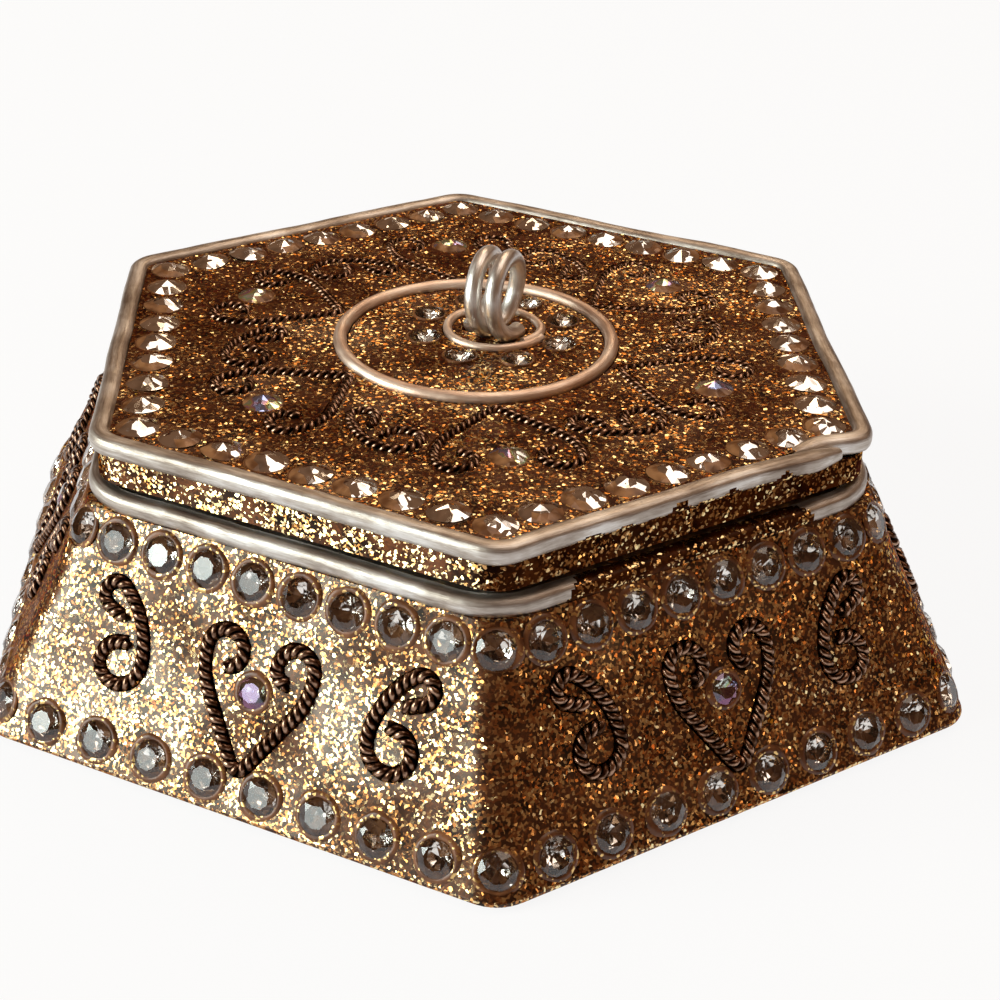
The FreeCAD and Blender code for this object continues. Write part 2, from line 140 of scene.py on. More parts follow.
def glitter_lac(name, settled, bare, gloss):
    """Flakes that each face their own way, settled a little towards the top, with bare lac between them."""
    flake_width = 0.21 * mm
    ragged_edge = 0.3 * mm
    least_lean = 0.25
    swell_share = 0.5
    depth_share = 0.8
    centred = (0.5, 0.5, 0.5)
    lac, paint = new_finish(name)
    place = paint.add("TexCoord").out("Object")
    ragged = paint.add("TexNoise", {}, {"Vector": place, "Scale": 2600, "Detail": 1}).out("Color")
    ragged = paint.add("VectorMath", {"operation": "MULTIPLY_ADD"}, {
        0: ragged, 1: (ragged_edge, ragged_edge, ragged_edge), 2: place})
    flake = paint.add("TexVoronoi", {}, {"Vector": ragged, "Scale": 1 / flake_width})
    chance = paint.add("TexWhiteNoise", {}, {"Vector": flake.out("Position")})
    odds = paint.add("SeparateColor", {}, {"Color": chance.out("Color")})
    lean = least_lean + (1 - least_lean) * paint.maths("POWER", odds.out("Green"), 3)
    tilt = paint.add("VectorMath", {"operation": "SUBTRACT"}, {0: flake.out("Color"), 1: centred})
    tilt = paint.add("VectorMath", {"operation": "SCALE"}, {0: tilt, "Scale": lean})
    swell = paint.add("TexNoise", {}, {"Vector": place, "Scale": 130, "Detail": 1}).out("Color")
    swell = paint.add("VectorMath", {"operation": "SUBTRACT"}, {0: swell, 1: centred})
    swell = paint.add("VectorMath", {"operation": "MULTIPLY_ADD"}, {
        0: swell, 1: (swell_share, swell_share, swell_share), 2: (0, 0, settled)})
    normal = paint.add("NewGeometry").out("Normal")
    face = paint.add("VectorMath", {"operation": "ADD"}, {0: normal, 1: swell})
    facing = paint.add("VectorMath", {"operation": "ADD"}, {0: face, 1: tilt})
    facing = paint.add("VectorMath", {"operation": "NORMALIZE"}, {0: facing})
    depth = paint.add("TexNoise", {}, {"Vector": place, "Scale": 420, "Detail": 2})
    sunk = chance.out("Value") < bare + depth_share * depth
    gold = paint.add("ValToRGB", {"stops": (
        (0.0, (0.042, 0.012, 0.003)), (0.4, (0.195, 0.057, 0.014)), (0.7, (0.52, 0.225, 0.063)),
        (0.97, (0.95, 0.78, 0.42)))}, {"Fac": odds.out("Red")})
    amber = paint.add("ValToRGB", {"stops": (
        (0.35, (0.012, 0.003, 0.001)), (0.65, (0.09, 0.023, 0.004)))}, {"Fac": depth})
    colour = paint.add("Mix", {"data_type": "RGBA"}, {0: sunk, 6: gold, 7: amber})
    flakes = paint.add("BsdfPrincipled", {}, {
        "Base Color": colour, "Metallic": 1, "Roughness": 0.2 + 0.35 * sunk, "Normal": facing,
        "Specular Tint": (0.45, 0.2, 0.06, 1)})
    face = paint.add("VectorMath", {"operation": "NORMALIZE"}, {0: face})
    skin = paint.add("BsdfPrincipled", {}, {
        "Base Color": (0.93, 0.95, 0.86, 1), "Metallic": 1, "Roughness": 0.3, "Normal": face})
    both = paint.add("MixShader", {}, {0: gloss * depth, 1: flakes, 2: skin})
    paint.add("OutputMaterial", {}, {"Surface": both})
    return lac


lac_finish = glitter_lac("glitter_lac", 0.2, 0.05, 0.08)
coat_with(lac_finish, "base_lac_coat", "lid_top_lac")
# The skirt gets a darker copy of the same lac, with more bare lac between the flakes and less gloss, as
# painted shade.
shaded_lac_finish = glitter_lac("skirt_lac", 0.5, 0.32, 0.012)
coat_with(shaded_lac_finish, "lid_skirt_lac")

# Edge wires
# Thick soft aluminium wire, bent by hand round the mouth of the base and round the lid's top edge, and
# pressed into the warm lac. Its run wavers and its ends lie past each other. At the front right, dark lac is
# laid over the wires from below as painted shade.

front_bearing, side_turn = -90, 60
sharpest_bend = 50
full_swing = 6.28


def headings_along(line):
    """Unit headings along a line of points."""
    ahead = numpy.gradient(line, axis=0)
    return ahead / numpy.linalg.norm(ahead, axis=1)[:, None]


def lengths_along(line):
    """How far along a line of points each point is."""
    return numpy.concatenate(([0], numpy.cumsum(numpy.linalg.norm(numpy.diff(line, axis=0), axis=1))))


def tube(line, upright, radii, around, press=1, flat=1):
    """Points and faces of a closed tube along a line, with a radius for each point, round or pressed."""
    ahead = headings_along(line)
    across = numpy.cross(ahead, upright)
    across /= numpy.linalg.norm(across, axis=1)[:, None]
    over = numpy.cross(across, ahead)
    swing = 2 * math.pi * numpy.arange(around) / around
    wide, high = (numpy.sign(part) * abs(part) ** press for part in (numpy.cos(swing), numpy.sin(swing)))
    rings = (line[:, None] + radii[:, None, None] * (
        wide[None, :, None] * across[:, None] + flat * high[None, :, None] * over[:, None]))
    faces = []
    for i in range(len(line) - 1):
        for j in range(around):
            k = (j + 1) % around
            faces.append((i * around + j, i * around + k, (i + 1) * around + k, (i + 1) * around + j))
    last = (len(line) - 1) * around
    faces.append(tuple(range(around))[::-1])
    faces.append(tuple(range(last, last + around)))
    return rings.reshape(-1, 3), faces


def new_piece(name, solids, finishes, body, slot, *stands_for):
    """A piece made of several closed solids, each a list of points, its faces and the faces' finish."""
    points, faces, kinds = [], [], []
    for solid_points, solid_faces, solid_kinds in solids:
        faces += [tuple(index + len(points) for index in face) for face in solid_faces]
        points += [tuple(point) for point in solid_points]
        kinds += solid_kinds
    mesh = bpy.data.meshes.new(name)
    mesh.from_pydata(points, [], faces)
    for finish in finishes:
        mesh.materials.append(finish)
    mesh.polygons.foreach_set("material_index", kinds)
    mesh.update()
    piece = bpy.data.objects.new(name, mesh)
    bpy.context.scene.collection.objects.link(piece)
    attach(piece, body)
    if stands_for:
        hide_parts(*stands_for)
    return piece


def smooth(piece):
    """Round shading, with the sharp cut ends kept."""
    piece.data.polygons.foreach_set("use_smooth", [True] * len(piece.data.polygons))
    piece.data.set_sharp_from_angle(angle=math.radians(sharpest_bend))


def waver(count, size, waves, luck):
    """A slow uneven wave along a line, closed on itself."""
    round_trip = numpy.linspace(0, 2 * math.pi, count)
    total = numpy.zeros(count)
    for wave in waves:
        total += luck.uniform(-1, 1) * numpy.sin(wave * round_trip + luck.uniform(0, full_swing))
    return total * size / len(waves)


def bent_hexagon(apothem, bend, start_bearing, travel, step):
    """Points round a six-sided ring with bent corners, from a bearing to a length past a full lap."""
    side_points, corner_points = 40, 16
    reach = (apothem - bend) * math.tan(math.pi / 6)
    points = []
    for side in range(6):
        bearing = math.radians(side_turn * side + front_bearing)
        out = numpy.array((math.cos(bearing), math.sin(bearing)))
        right = numpy.array((-out[1], out[0]))
        for share in numpy.linspace(-1, 1, side_points)[:-1]:
            points.append(out * apothem + right * reach * share)
        heart = out * (apothem - bend) + right * reach
        for swing in numpy.linspace(0, math.pi / 3, corner_points)[:-1]:
            points.append(heart + bend * (out * math.cos(swing) + right * math.sin(swing)))
    points = numpy.array(points)
    first = numpy.argmin(abs(numpy.angle(
        (points[:, 0] + 1j * points[:, 1]) * numpy.exp(-1j * math.radians(start_bearing)))))
    points = numpy.roll(points, -first, axis=0)
    lap = numpy.vstack((points, points, points[:1]))
    along = lengths_along(lap)
    perimeter = along[len(points)]
    wanted = numpy.arange(0, perimeter + travel, step)
    return numpy.column_stack([numpy.interp(wanted, along, lap[:, axis]) for axis in (0, 1)]), perimeter


def bright_wire(name, stops, roughness):
    """Drawn aluminium: lengthwise scuffs, small dents and dull patches in a soft shine."""
    wire, paint = new_finish(name)
    place = paint.add("TexCoord").out("Object")
    dents = paint.add("TexNoise", {}, {"Vector": place, "Scale": 620, "Detail": 2})
    run = paint.add("Attribute", {"attribute_name": "straight"}).out("Vector")
    run = paint.add("Mapping", {}, {"Vector": run, "Scale": (240, 3400, 3400)})
    scuffs = paint.add("TexNoise", {}, {"Vector": run, "Scale": 1, "Detail": 4, "Roughness": 0.7})
    tarnish = paint.add("TexNoise", {}, {"Vector": place, "Scale": 210, "Detail": 4})
    colour = paint.add("ValToRGB", {"stops": stops}, {"Fac": 0.5 * tarnish + 0.5 * scuffs})
    height = 0.6 * dents + 0.4 * scuffs
    bump = paint.add("Bump", {}, {"Height": height, "Strength": 0.8, "Distance": 0.14 * mm})
    metal = paint.add("BsdfPrincipled", {}, {
        "Base Color": colour, "Metallic": 1, "Roughness": roughness + 0.22 * scuffs, "Normal": bump})
    paint.add("OutputMaterial", {}, {"Surface": metal})
    return wire


wire_finish = bright_wire("bright_wire", (
    (0.38, (0.24, 0.19, 0.155)), (0.5, (0.48, 0.42, 0.37)), (0.62, (0.76, 0.73, 0.70))), 0.36)


def lay_wire(name, node, line, upright, radii, around, finish, body, press=1, shaded_faces=None):
    """A wire along a line, marked with its run pulled straight, and with dark lac over its shaded faces as
    painted shade.
    """
    points, faces = tube(line, upright, radii, around, press)
    kinds, finishes = [0] * len(faces), [finish]
    if shaded_faces is not None:
        kinds[:shaded_faces.size] = shaded_faces.ravel().astype(int).tolist()
        finishes.append(shaded_lac_finish)
    piece = new_piece(name, [(points, faces, kinds)], finishes, body, "bright_wire", node)
    smooth(piece)
    swing = 2 * math.pi * numpy.arange(around) / around
    straight = numpy.column_stack((
        numpy.repeat(lengths_along(line), around), numpy.outer(radii, numpy.cos(swing)).ravel(),
        numpy.outer(radii, numpy.sin(swing)).ravel()))
    mark = piece.data.attributes.new("straight", "FLOAT_VECTOR", "POINT")
    mark.data.foreach_set("vector", straight.ravel())


edge_around = 30
edge_press = 0.72
edge_step = 0.35 * mm
edge_shift, edge_rise = 0.22 * mm, 0.16 * mm
edge_mean, edge_dents = 0.97, 0.07
end_out_share, end_in_share = 0.28, 0.72
tip_share = 0.55
upward = numpy.array((0, 0, 1.0))


def shaded_wire_faces(line, shade_reach, luck):
    """Which faces of an edge wire at the front right get dark lac, up from below, as painted shade."""
    first_bearing, last_bearing, ease = -53, -8, 4
    unevenness = 60
    bottom = -90
    bearing = numpy.degrees(numpy.arctan2(line[:, 1], line[:, 0]))
    over = numpy.clip((bearing - first_bearing) / ease, 0, 1)
    over *= numpy.clip((last_bearing - bearing) / ease, 0, 1)
    level = (shade_reach - bottom + waver(len(line), unevenness, (7, 19, 44, 83), luck)) * over + bottom
    turned = (360 * (numpy.arange(edge_around) + 1 / 2) / edge_around + 180) % 360 - 180
    return ((turned[None, :] > bottom) & (turned[None, :] < level[:, None]))[:-1]


def edge_wire(name, bend, overlap, start_bearing, shade_reach, body, luck):
    """A hand-bent wire where the CAD wire of that name is, tapered where its ends lie past each other."""
    low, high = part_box(name)
    thickness = high.z - low.z
    apothem = high.y - thickness / 2
    line, perimeter = bent_hexagon(apothem, bend, start_bearing, overlap, edge_step)
    count = len(line)
    along = numpy.arange(count) * edge_step
    out = line / numpy.linalg.norm(line, axis=1)[:, None]
    at_end = numpy.clip((along - perimeter + 2 * overlap) / (2 * overlap), 0, 1)
    at_start = numpy.clip(2 - along / overlap, 0, 1)
    shift = waver(count, edge_shift, (3, 5, 8, 13, 21), luck)
    shift += thickness * (end_out_share * at_end - end_in_share * at_start)
    rise = waver(count, edge_rise, (2, 4, 7, 11, 17), luck)
    height = numpy.full(count, (low.z + high.z) / 2) + rise
    points = numpy.column_stack((line + out * shift[:, None], height))
    radii = thickness / 2 * (edge_mean + waver(count, edge_dents, (9, 16, 31, 47, 73), luck))
    to_end = numpy.minimum(along, along[-1] - along)
    radii *= tip_share + (1 - tip_share) * numpy.sin(numpy.clip(to_end / overlap, 0, 1) * math.pi / 2)
    # Painted shade: the wire's faces at the front right get the dark lac.
    shaded_faces = shaded_wire_faces(line, shade_reach, luck)
    lay_wire("bent_" + name, name, points, upward, radii, edge_around, wire_finish, body, edge_press, shaded_faces)


edge_wire("base_rim_wire", 6.0 * mm, 2.0 * mm, 100, 125, "base", random.Random(3))
edge_wire("lid_edge_wire", 2.4 * mm, 3.0 * mm, -10, -18, "lid", random.Random(8))

# Stones
# Faceted glass stones with a silvered back, pressed into the warm lac, which rises round each one in a
# smooth brown lip. Those within the scrolls have a film on the glass that shines in changing colours.


def places_of(node):
    """Middle, outward axis and width of each stone in a CAD node, from its points."""
    at_girdle = 0.95
    sketch = bmesh.new()
    sketch.from_mesh(nodes[node].data)
    bmesh.ops.remove_doubles(sketch, verts=sketch.verts, dist=0.001 * mm)
    found = []
    for vertex in sketch.verts:
        if vertex.tag:
            continue
        island, waiting = [], [vertex]
        vertex.tag = True
        while waiting:
            reached = waiting.pop()
            island.append(reached.co)
            for edge in reached.link_edges:
                neighbour = edge.other_vert(reached)
                if not neighbour.tag:
                    neighbour.tag = True
                    waiting.append(neighbour)
        points = numpy.array(island)
        middle = points.mean(axis=0)
        axis = numpy.linalg.eigh(numpy.cov((points - middle).T))[1][:, 0]
        if (((points - middle) @ axis) ** 3).sum() > 0:
            axis = -axis
        heights = (points - middle) @ axis
        reach = numpy.linalg.norm(points - middle - numpy.outer(heights, axis), axis=1)
        girdle = heights[reach > at_girdle * reach.max()].mean()
        found.append((middle + axis * girdle, axis, 2 * reach.max()))
    sketch.free()
    return found


def upright_axes(axis):
    """Two unit vectors square to an axis and to each other."""
    slanted = (0.31, 0.87, 0.38)
    side = numpy.cross(axis, slanted)
    side /= numpy.linalg.norm(side)
    return side, numpy.cross(axis, side)


def ring(middle, axis, radius, height, count, spin):
    """Points round an axis, at a height above its middle."""
    side, other = upright_axes(axis)
    swing = spin + 2 * math.pi * numpy.arange(count) / count
    return middle + axis * height + radius * (
        numpy.cos(swing)[:, None] * side + numpy.sin(swing)[:, None] * other)


table_share, crown_share, girdle_share, back_share = 0.275, 0.42, 0.5, 0.27
table_rise_share, crown_rise_share, girdle_rise_share, back_fall_share = 0.175, 0.1, 0.025, 0.56


def cut_stone(middle, axis, width, depth, askew, inner_silver, outer_silver, luck):
    """One stone: flat table, crown of slanting facets, thin girdle and a pointed back in two steps."""
    lean = numpy.array([luck.gauss(0, askew) for _ in range(3)])
    axis = (axis + lean) / numpy.linalg.norm(axis + lean)
    spin = luck.uniform(0, math.pi / 4)
    first = luck.randrange(8)
    half = math.pi / 8
    rings = [
        ring(middle, axis, table_share * width, table_rise_share * width, 8, spin),
        ring(middle, axis, crown_share * width, crown_rise_share * width, 8, spin + half),
        ring(middle, axis, girdle_share * width, girdle_rise_share * width, 16, spin),
        ring(middle, axis, girdle_share * width, -girdle_rise_share * width, 16, spin),
        ring(middle, axis, back_share * width, -back_fall_share * depth, 8, spin + half),
        [middle - axis * depth]]
    starts = numpy.cumsum([0] + [len(row) for row in rings])
    table, crown, upper, lower, back, point = starts[:6]
    faces, kinds = [tuple(range(table, table + 8))], [0]
    for i in range(8):
        j = (i + 1) % 8
        near, far = upper + 2 * i, upper + (2 * i + 1) % 16
        next_near = upper + (2 * i + 2) % 16
        faces += [(table + j, table + i, crown + i), (table + j, crown + i, next_near, crown + j)]
        faces += [(crown + i, near, far), (crown + i, far, next_near)]
        kinds += [0, 0, 0, 0]
        low_near, low_far = lower + 2 * i, lower + (2 * i + 1) % 16
        low_next = lower + (2 * i + 2) % 16
        faces += [(far, near, low_near, low_far), (next_near, far, low_far, low_next)]
        kinds += [0, 0]
        faces += [(back + i, low_far, low_near), (back + i, low_next, low_far)]
        faces.append((back + j, low_next, back + i))
        kinds += [1 if (i - first) % 8 < outer_silver else 2] * 3
        faces.append((point, back + j, back + i))
        kinds.append(1 if (i - first) % 8 < inner_silver else 2)
    faces = [tuple(int(index) for index in face) for face in faces]
    return numpy.vstack(rings), faces, kinds


lip_height = 0.19 * mm
lip_spread, lip_inset, lip_stand = 0.75, 0.1, 0.45
lip_unevenness = 0.5


def lac_lip(middle, axis, width, reach, luck):
    """Smooth lip of lac raised round a stone, uneven as a thumb leaves it."""
    around, bow = 22, 7
    side, other = upright_axes(axis)
    points = []
    wide = waver(around + 1, lip_unevenness, (1, 2, 3, 5), luck)
    for i in range(around):
        swing = 2 * math.pi * i / around
        out = math.cos(swing) * side + math.sin(swing) * other
        for j in range(bow):
            roll = 2 * math.pi * j / bow
            away = width / 2 + reach * ((lip_spread + wide[i]) * math.cos(roll) - lip_inset)
            rise = lip_height * (lip_stand + (1 + wide[i]) * math.sin(roll))
            points.append(middle + out * away + axis * rise)
    faces = []
    for i in range(around):
        k = (i + 1) % around
        for j in range(bow):
            m = (j + 1) % bow
            faces.append((i * bow + j, k * bow + j, k * bow + m, i * bow + m))
    return numpy.array(points), faces, [0] * len(faces)


def stone_glass(name, film):
    """Heavy clear glass, with or without the film of changing colours."""
    glass, paint = new_finish(name)
    settings = {
        "Base Color": (0.97, 0.94, 0.9, 1), "Roughness": 0.02, "IOR": 1.66, "Transmission Weight": 1}
    if film:
        settings.update({"Thin Film Thickness": 430, "Thin Film IOR": 2.0})
    paint.add("OutputMaterial", {}, {"Surface": paint.add("BsdfPrincipled", {}, settings)})
    return glass


def stone_back(name, stops, metallic, roughness):
    """Silvering on a stone's back, crumpled into small flats that differ in tone and lean."""
    flat_width = 0.75 * mm
    flat_lean = 0.5
    back, paint = new_finish(name)
    place = paint.add("TexCoord").out("Object")
    patch = paint.add("TexNoise", {}, {"Vector": place, "Scale": 900, "Detail": 1})
    colour = paint.add("ValToRGB", {"stops": stops}, {"Fac": patch})
    flat = paint.add("TexVoronoi", {}, {"Vector": place, "Scale": 1 / flat_width}).out("Color")
    lean = paint.add("VectorMath", {"operation": "SUBTRACT"}, {0: flat, 1: (0.5, 0.5, 0.5)})
    lean = paint.add("VectorMath", {"operation": "SCALE"}, {0: lean, "Scale": flat_lean})
    normal = paint.add("NewGeometry").out("Normal")
    facing = paint.add("VectorMath", {"operation": "ADD"}, {0: normal, 1: lean})
    facing = paint.add("VectorMath", {"operation": "NORMALIZE"}, {0: facing})
    foil = paint.add("BsdfPrincipled", {}, {
        "Base Color": colour, "Metallic": metallic, "Roughness": roughness, "Normal": facing})
    paint.add("OutputMaterial", {}, {"Surface": foil})
    return back


def brown_lac():
    """Lac with little glitter: deep brown in cloudy tones, with a soft gloss and a few stray flakes."""
    stray_width = 0.2 * mm
    stray_odds = 0.14
    lac, paint = new_finish("brown_lac")
    place = paint.add("TexCoord").out("Object")
    cloud = paint.add("TexNoise", {}, {"Vector": place, "Scale": 700, "Detail": 3})
    colour = paint.add("ValToRGB", {"stops": (
        (0.3, (0.065, 0.021, 0.007)), (0.7, (0.25, 0.1, 0.04)))}, {"Fac": cloud})
    flake = paint.add("TexVoronoi", {}, {"Vector": place, "Scale": 1 / stray_width})
    stray = paint.add("SeparateColor", {}, {"Color": flake.out("Color")}).out("Red") > 1 - stray_odds
    colour = paint.add("Mix", {"data_type": "RGBA"}, {0: stray, 6: colour, 7: (0.75, 0.5, 0.2, 1)})
    bump = paint.add("Bump", {}, {"Height": cloud, "Strength": 0.3, "Distance": 0.1 * mm})
    skin = paint.add("BsdfPrincipled", {}, {
        "Base Color": colour, "Metallic": stray, "Roughness": 0.2 + 0.2 * cloud, "Normal": bump,
        "Specular IOR Level": 0.35})
    paint.add("OutputMaterial", {}, {"Surface": skin})
    return lac


clear_glass = stone_glass("clear_glass", False)
film_glass = stone_glass("film_glass", True)
silver_back = stone_back("silver_back", (
    (0.35, (0.66, 0.64, 0.62)), (0.6, (0.95, 0.94, 0.93))), 1, 0.13)
smeared_back = stone_back("smeared_back", (
    (0.35, (0.12, 0.042, 0.012)), (0.65, (0.31, 0.145, 0.06))), 0.15, 0.35)
rainbow_back = stone_back("rainbow_back", (
    (0.36, (0.45, 0.55, 0.98)), (0.43, (0.85, 0.52, 0.85)), (0.49, (0.98, 0.88, 0.40)),
    (0.55, (0.62, 0.98, 0.72)), (0.61, (0.95, 0.98, 0.96))), 1, 0.22)
lip_finish = brown_lac()

# Depth of a stone's back, reach of its lip, and how many of its eight inner and its eight outer back facets
# have kept their silver.
stone_seats = {"base": (1.25 * mm, 0.42 * mm, (6, 1)), "lid": (0.74 * mm, 0.17 * mm, (8, 5))}


def set_stones(node, body, glass, back, slot, askew, luck):
    """The stones of one CAD node, each leaning its own way, and the lips of lac round them."""
    depth, reach, silvered = stone_seats[body]
    stones, lips = [], []
    for middle, axis, width in places_of(node):
        stones.append(cut_stone(middle, axis, width, depth, askew, *silvered, luck))
        lips.append(lac_lip(middle, axis, width, reach, luck))
    new_piece("cut_" + node, stones, [glass, back, smeared_back], body, slot, node)
    smooth(new_piece("lip_" + node, lips, [lip_finish], body, "glitter_lac"))


row_askew, aurora_askew, centre_askew = 0.045, 0.01, 0.06
stone_luck = random.Random(21)
for side in range(1, 7):
    for row, body in (("base_upper", "base"), ("base_lower", "base"), ("lid_border", "lid")):
        node = "%s_stones_%d" % (row, side)
        set_stones(node, body, clear_glass, silver_back, "clear_glass", row_askew, stone_luck)
set_stones("base_aurora_stones", "base", film_glass, rainbow_back, "aurora_glass", aurora_askew, stone_luck)
set_stones("lid_aurora_stones", "lid", film_glass, rainbow_back, "aurora_glass", aurora_askew, stone_luck)
set_stones("lid_centre_stones", "lid", clear_glass, silver_back, "clear_glass", centre_askew, stone_luck)

# Scrolls
# Two thin dark bronze wires twisted together, bent into hearts and curls and laid into the warm lac up to
# about half their thickness, deeper on the lid. The grooves between the strands are painted dark as shade,
# and the crests are paler, partly as wear and partly as a painted highlight.

rope_width = 1.1 * mm
lid_rope_width = 0.9 * mm
rope_lay = 1.4 * mm
rope_step = 0.11 * mm
rope_sway, rope_rise = 0.1 * mm, 0.05 * mm
strand_share = 0.262
side_opening = 57
lid_opening = 48
arm_lean = 95
loop_turns = (180, 90)
horn_shares = (0.074, 0.54, 0.52, 0.148, 0.105)
curl_turns = (0, -160, -104, -50, -196, 0)
curl_shares = (0.125, 0.219, 0.28, 0.972, 0.146, 0.22)
curl_heading = -20
curl_tilt = 12
rope_around = 8
bank_end, bank_reach, bank_depth = 0.5 * mm, 0.66 * mm, 0.36 * mm
bank_around, bank_press = 12, 0.6


def bent_run(heading, turns, shares):
    """Points of a chain of tangent straight runs and arcs, closely spaced, for a scroll of unit height."""
    straight_steps, least_steps = 12, 8
    point = 0j
    points = [point]
    for swing, share in zip(turns, shares):
        ahead = numpy.exp(1j * math.radians(heading))
        if swing == 0:
            run = [point + ahead * share * step / straight_steps for step in range(1, straight_steps + 1)]
        else:
            pivot = point + 1j * ahead * math.copysign(share, swing)
            steps = max(least_steps, int(abs(swing) * share))
            run = [pivot + (point - pivot) * numpy.exp(1j * math.radians(swing * step / steps))
                   for step in range(1, steps + 1)]
        points += run
        point = points[-1]
        heading += swing
    return numpy.array(points)


def horn_line(opening):
    """Heart, from one curled end round its tip to the other, with arms that leave the tip at an angle."""
    half = bent_run(0, (opening, 0, arm_lean - opening, *loop_turns), horn_shares)
    return numpy.concatenate((-half[::-1].conj(), half[1:]))


def curl_line(hand):
    """Curl with its open side to the right, or to the left for a hand of -1."""
    line = bent_run(curl_heading, curl_turns, curl_shares)
    if hand < 0:
        line = -line.conj()
    return line


def spread(line, step):
    """The same line at even steps."""
    least_points = 16
    along = numpy.concatenate(([0], numpy.cumsum(abs(numpy.diff(line)))))
    wanted = numpy.linspace(0, along[-1], max(least_points, int(along[-1] / step)))
    return numpy.interp(wanted, along, line.real) + 1j * numpy.interp(wanted, along, line.imag)


def twisted(line, width, middle, right, up, out, luck, lac_above=None):
    """Two strands wound round each other along a line that lies in a plane, and how far out each point is.

    Where the lac's surface above the line is given, a low bank of lac fills the groove beside the strands."""
    line = spread(line, rope_step)
    count = len(line)
    line = line + waver(count, rope_sway, (2, 3, 5), luck) + 1j * waver(count, rope_sway, (2, 3, 5), luck)
    height = waver(count, rope_rise, (3, 6, 9), luck)
    flat = middle + line.real[:, None] * right + line.imag[:, None] * up
    core = flat + height[:, None] * out
    ahead = headings_along(core)
    across = numpy.cross(ahead, out)
    start = luck.uniform(0, full_swing)
    strands, crests = [], []
    for strand in range(2):
        swing = start + math.pi * strand + 2 * math.pi * lengths_along(core) / rope_lay
        wound = core + width / 4 * (numpy.cos(swing)[:, None] * across + numpy.sin(swing)[:, None] * out)
        points, faces = tube(wound, out, numpy.full(count, strand_share * width), rope_around)
        strands.append((points, faces, [0] * len(faces)))
        away = numpy.linalg.norm(points - numpy.repeat(core, rope_around, axis=0), axis=1)
        crests.append(away / (width / 2))
    if lac_above is not None:
        bank = numpy.vstack((flat[:1] - ahead[0] * bank_end, flat, flat[-1:] + ahead[-1] * bank_end))
        bank = bank + out * (lac_above - bank_depth / 2)
        reach = numpy.full(len(bank), bank_reach)
        points, faces = tube(bank, out, reach, bank_around, bank_press, bank_depth / 2 / bank_reach)
        strands.append((points, faces, [1] * len(faces)))
        crests.append(numpy.zeros(len(points)))
    return strands, crests


def lay_rope(node, ropes, body):
    """One piece of twisted wire in place of a CAD scroll, with the strands' crests marked for painted shade,
    painted highlight and wear.
    """
    strands = [strand for rope in ropes for strand in rope[0]]
    crests = numpy.concatenate([crest for rope in ropes for crest in rope[1]])
    finishes = [rope_finish, lac_finish] if body == "lid" else [rope_finish]
    piece = new_piece("rope_" + node, strands, finishes, body, "twisted_wire", node)
    piece.data.attributes.new("crest", "FLOAT", "POINT").data.foreach_set("value", crests)
    smooth(piece)


def twisted_wire():
    """Dark bronze, near black in the grooves as painted shade, and paler on the marked crests, partly as wear
    and partly as a painted highlight.
    """
    wire, paint = new_finish("twisted_wire")
    place = paint.add("TexCoord").out("Object")
    wear = paint.add("TexNoise", {}, {"Vector": place, "Scale": 1500, "Detail": 3})
    crest = paint.add("Attribute", {"attribute_name": "crest"}).out("Fac")
    # Painted shade and highlight: the strands go near black towards the rope's core and paler towards the
    # crests, with noise for wear.
    groove_shade_crest_sheen_and_wear = crest * (0.6 + 0.7 * wear)
    colour = paint.add("ValToRGB", {"stops": (
        (0.66, (0.012, 0.005, 0.002)), (0.86, (0.06, 0.025, 0.012)), (1.0, (0.36, 0.22, 0.15)))}, {
            "Fac": groove_shade_crest_sheen_and_wear})
    metal = paint.add("BsdfPrincipled", {}, {"Base Color": colour, "Metallic": 1, "Roughness": 0.26})
    paint.add("OutputMaterial", {}, {"Surface": metal})
    return wire


rope_finish = twisted_wire()


def extents(points, middle, right, up, tilt):
    """Lowest and highest place of points in a plane whose axes are turned by a tilt."""
    turn = numpy.exp(-1j * math.radians(tilt))
    flat = ((points - middle) @ right + 1j * ((points - middle) @ up)) * turn
    return flat.real.min() + 1j * flat.imag.min(), flat.real.max() + 1j * flat.imag.max()


def fit_line(line, points, middle, right, up, tilt, thickness):
    """A unit line sized, turned and moved to fill the room of the CAD wire that it stands for."""
    low, high = extents(points, middle, right, up, tilt)
    size = (high.imag - low.imag - thickness) / (line.imag.max() - line.imag.min())
    heart = (line.real.max() + line.real.min()) / 2 + 1j * (line.imag.max() + line.imag.min()) / 2
    return ((line - heart) * size + (low + high) / 2) * numpy.exp(1j * math.radians(tilt))


def mesh_points(node):
    """The points of a CAD node."""
    return numpy.array([vertex.co for vertex in nodes[node].data.vertices])


cad_rope = 1.15 * mm
cad_rope_above = 0.4 * cad_rope
least_sink, most_sink, deepest_bearing = -0.08 * mm, 0.17 * mm, 75
bank_low = 0.02 * mm
rope_lift = 0.1 * cad_rope
rope_luck = random.Random(5)
for middle, out, _ in places_of("base_aurora_stones"):
    bearing = math.degrees(math.atan2(out[1], out[0]))
    number = round((bearing - front_bearing) / side_turn) % 6 + 1
    right = numpy.array((-out[1], out[0], 0)) / math.hypot(out[0], out[1])
    up = numpy.cross(out, right)
    raised = middle + out * rope_lift
    node = "base_horn_%d" % number
    line = fit_line(horn_line(side_opening), mesh_points(node), middle, right, up, 0, cad_rope)
    lay_rope(node, [twisted(line, rope_width, raised, right, up, out, rope_luck)], "base")
    node = "base_curls_%d" % number
    points = mesh_points(node)
    curls = []
    for hand in (1, -1):
        own = points[((points - middle) @ right) * hand > 0]
        line = fit_line(curl_line(hand), own, middle, right, up, curl_tilt * hand, cad_rope)
        curls.append(twisted(line, rope_width, raised, right, up, out, rope_luck))
    lay_rope(node, curls, "base")

first_horn_bearing = -54
low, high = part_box("lid_outer_ring")
lid_lac_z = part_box("lid_horn_1")[1].z - cad_rope_above
lid_middle = numpy.array(((low.x + high.x) / 2, (low.y + high.y) / 2, lid_lac_z))


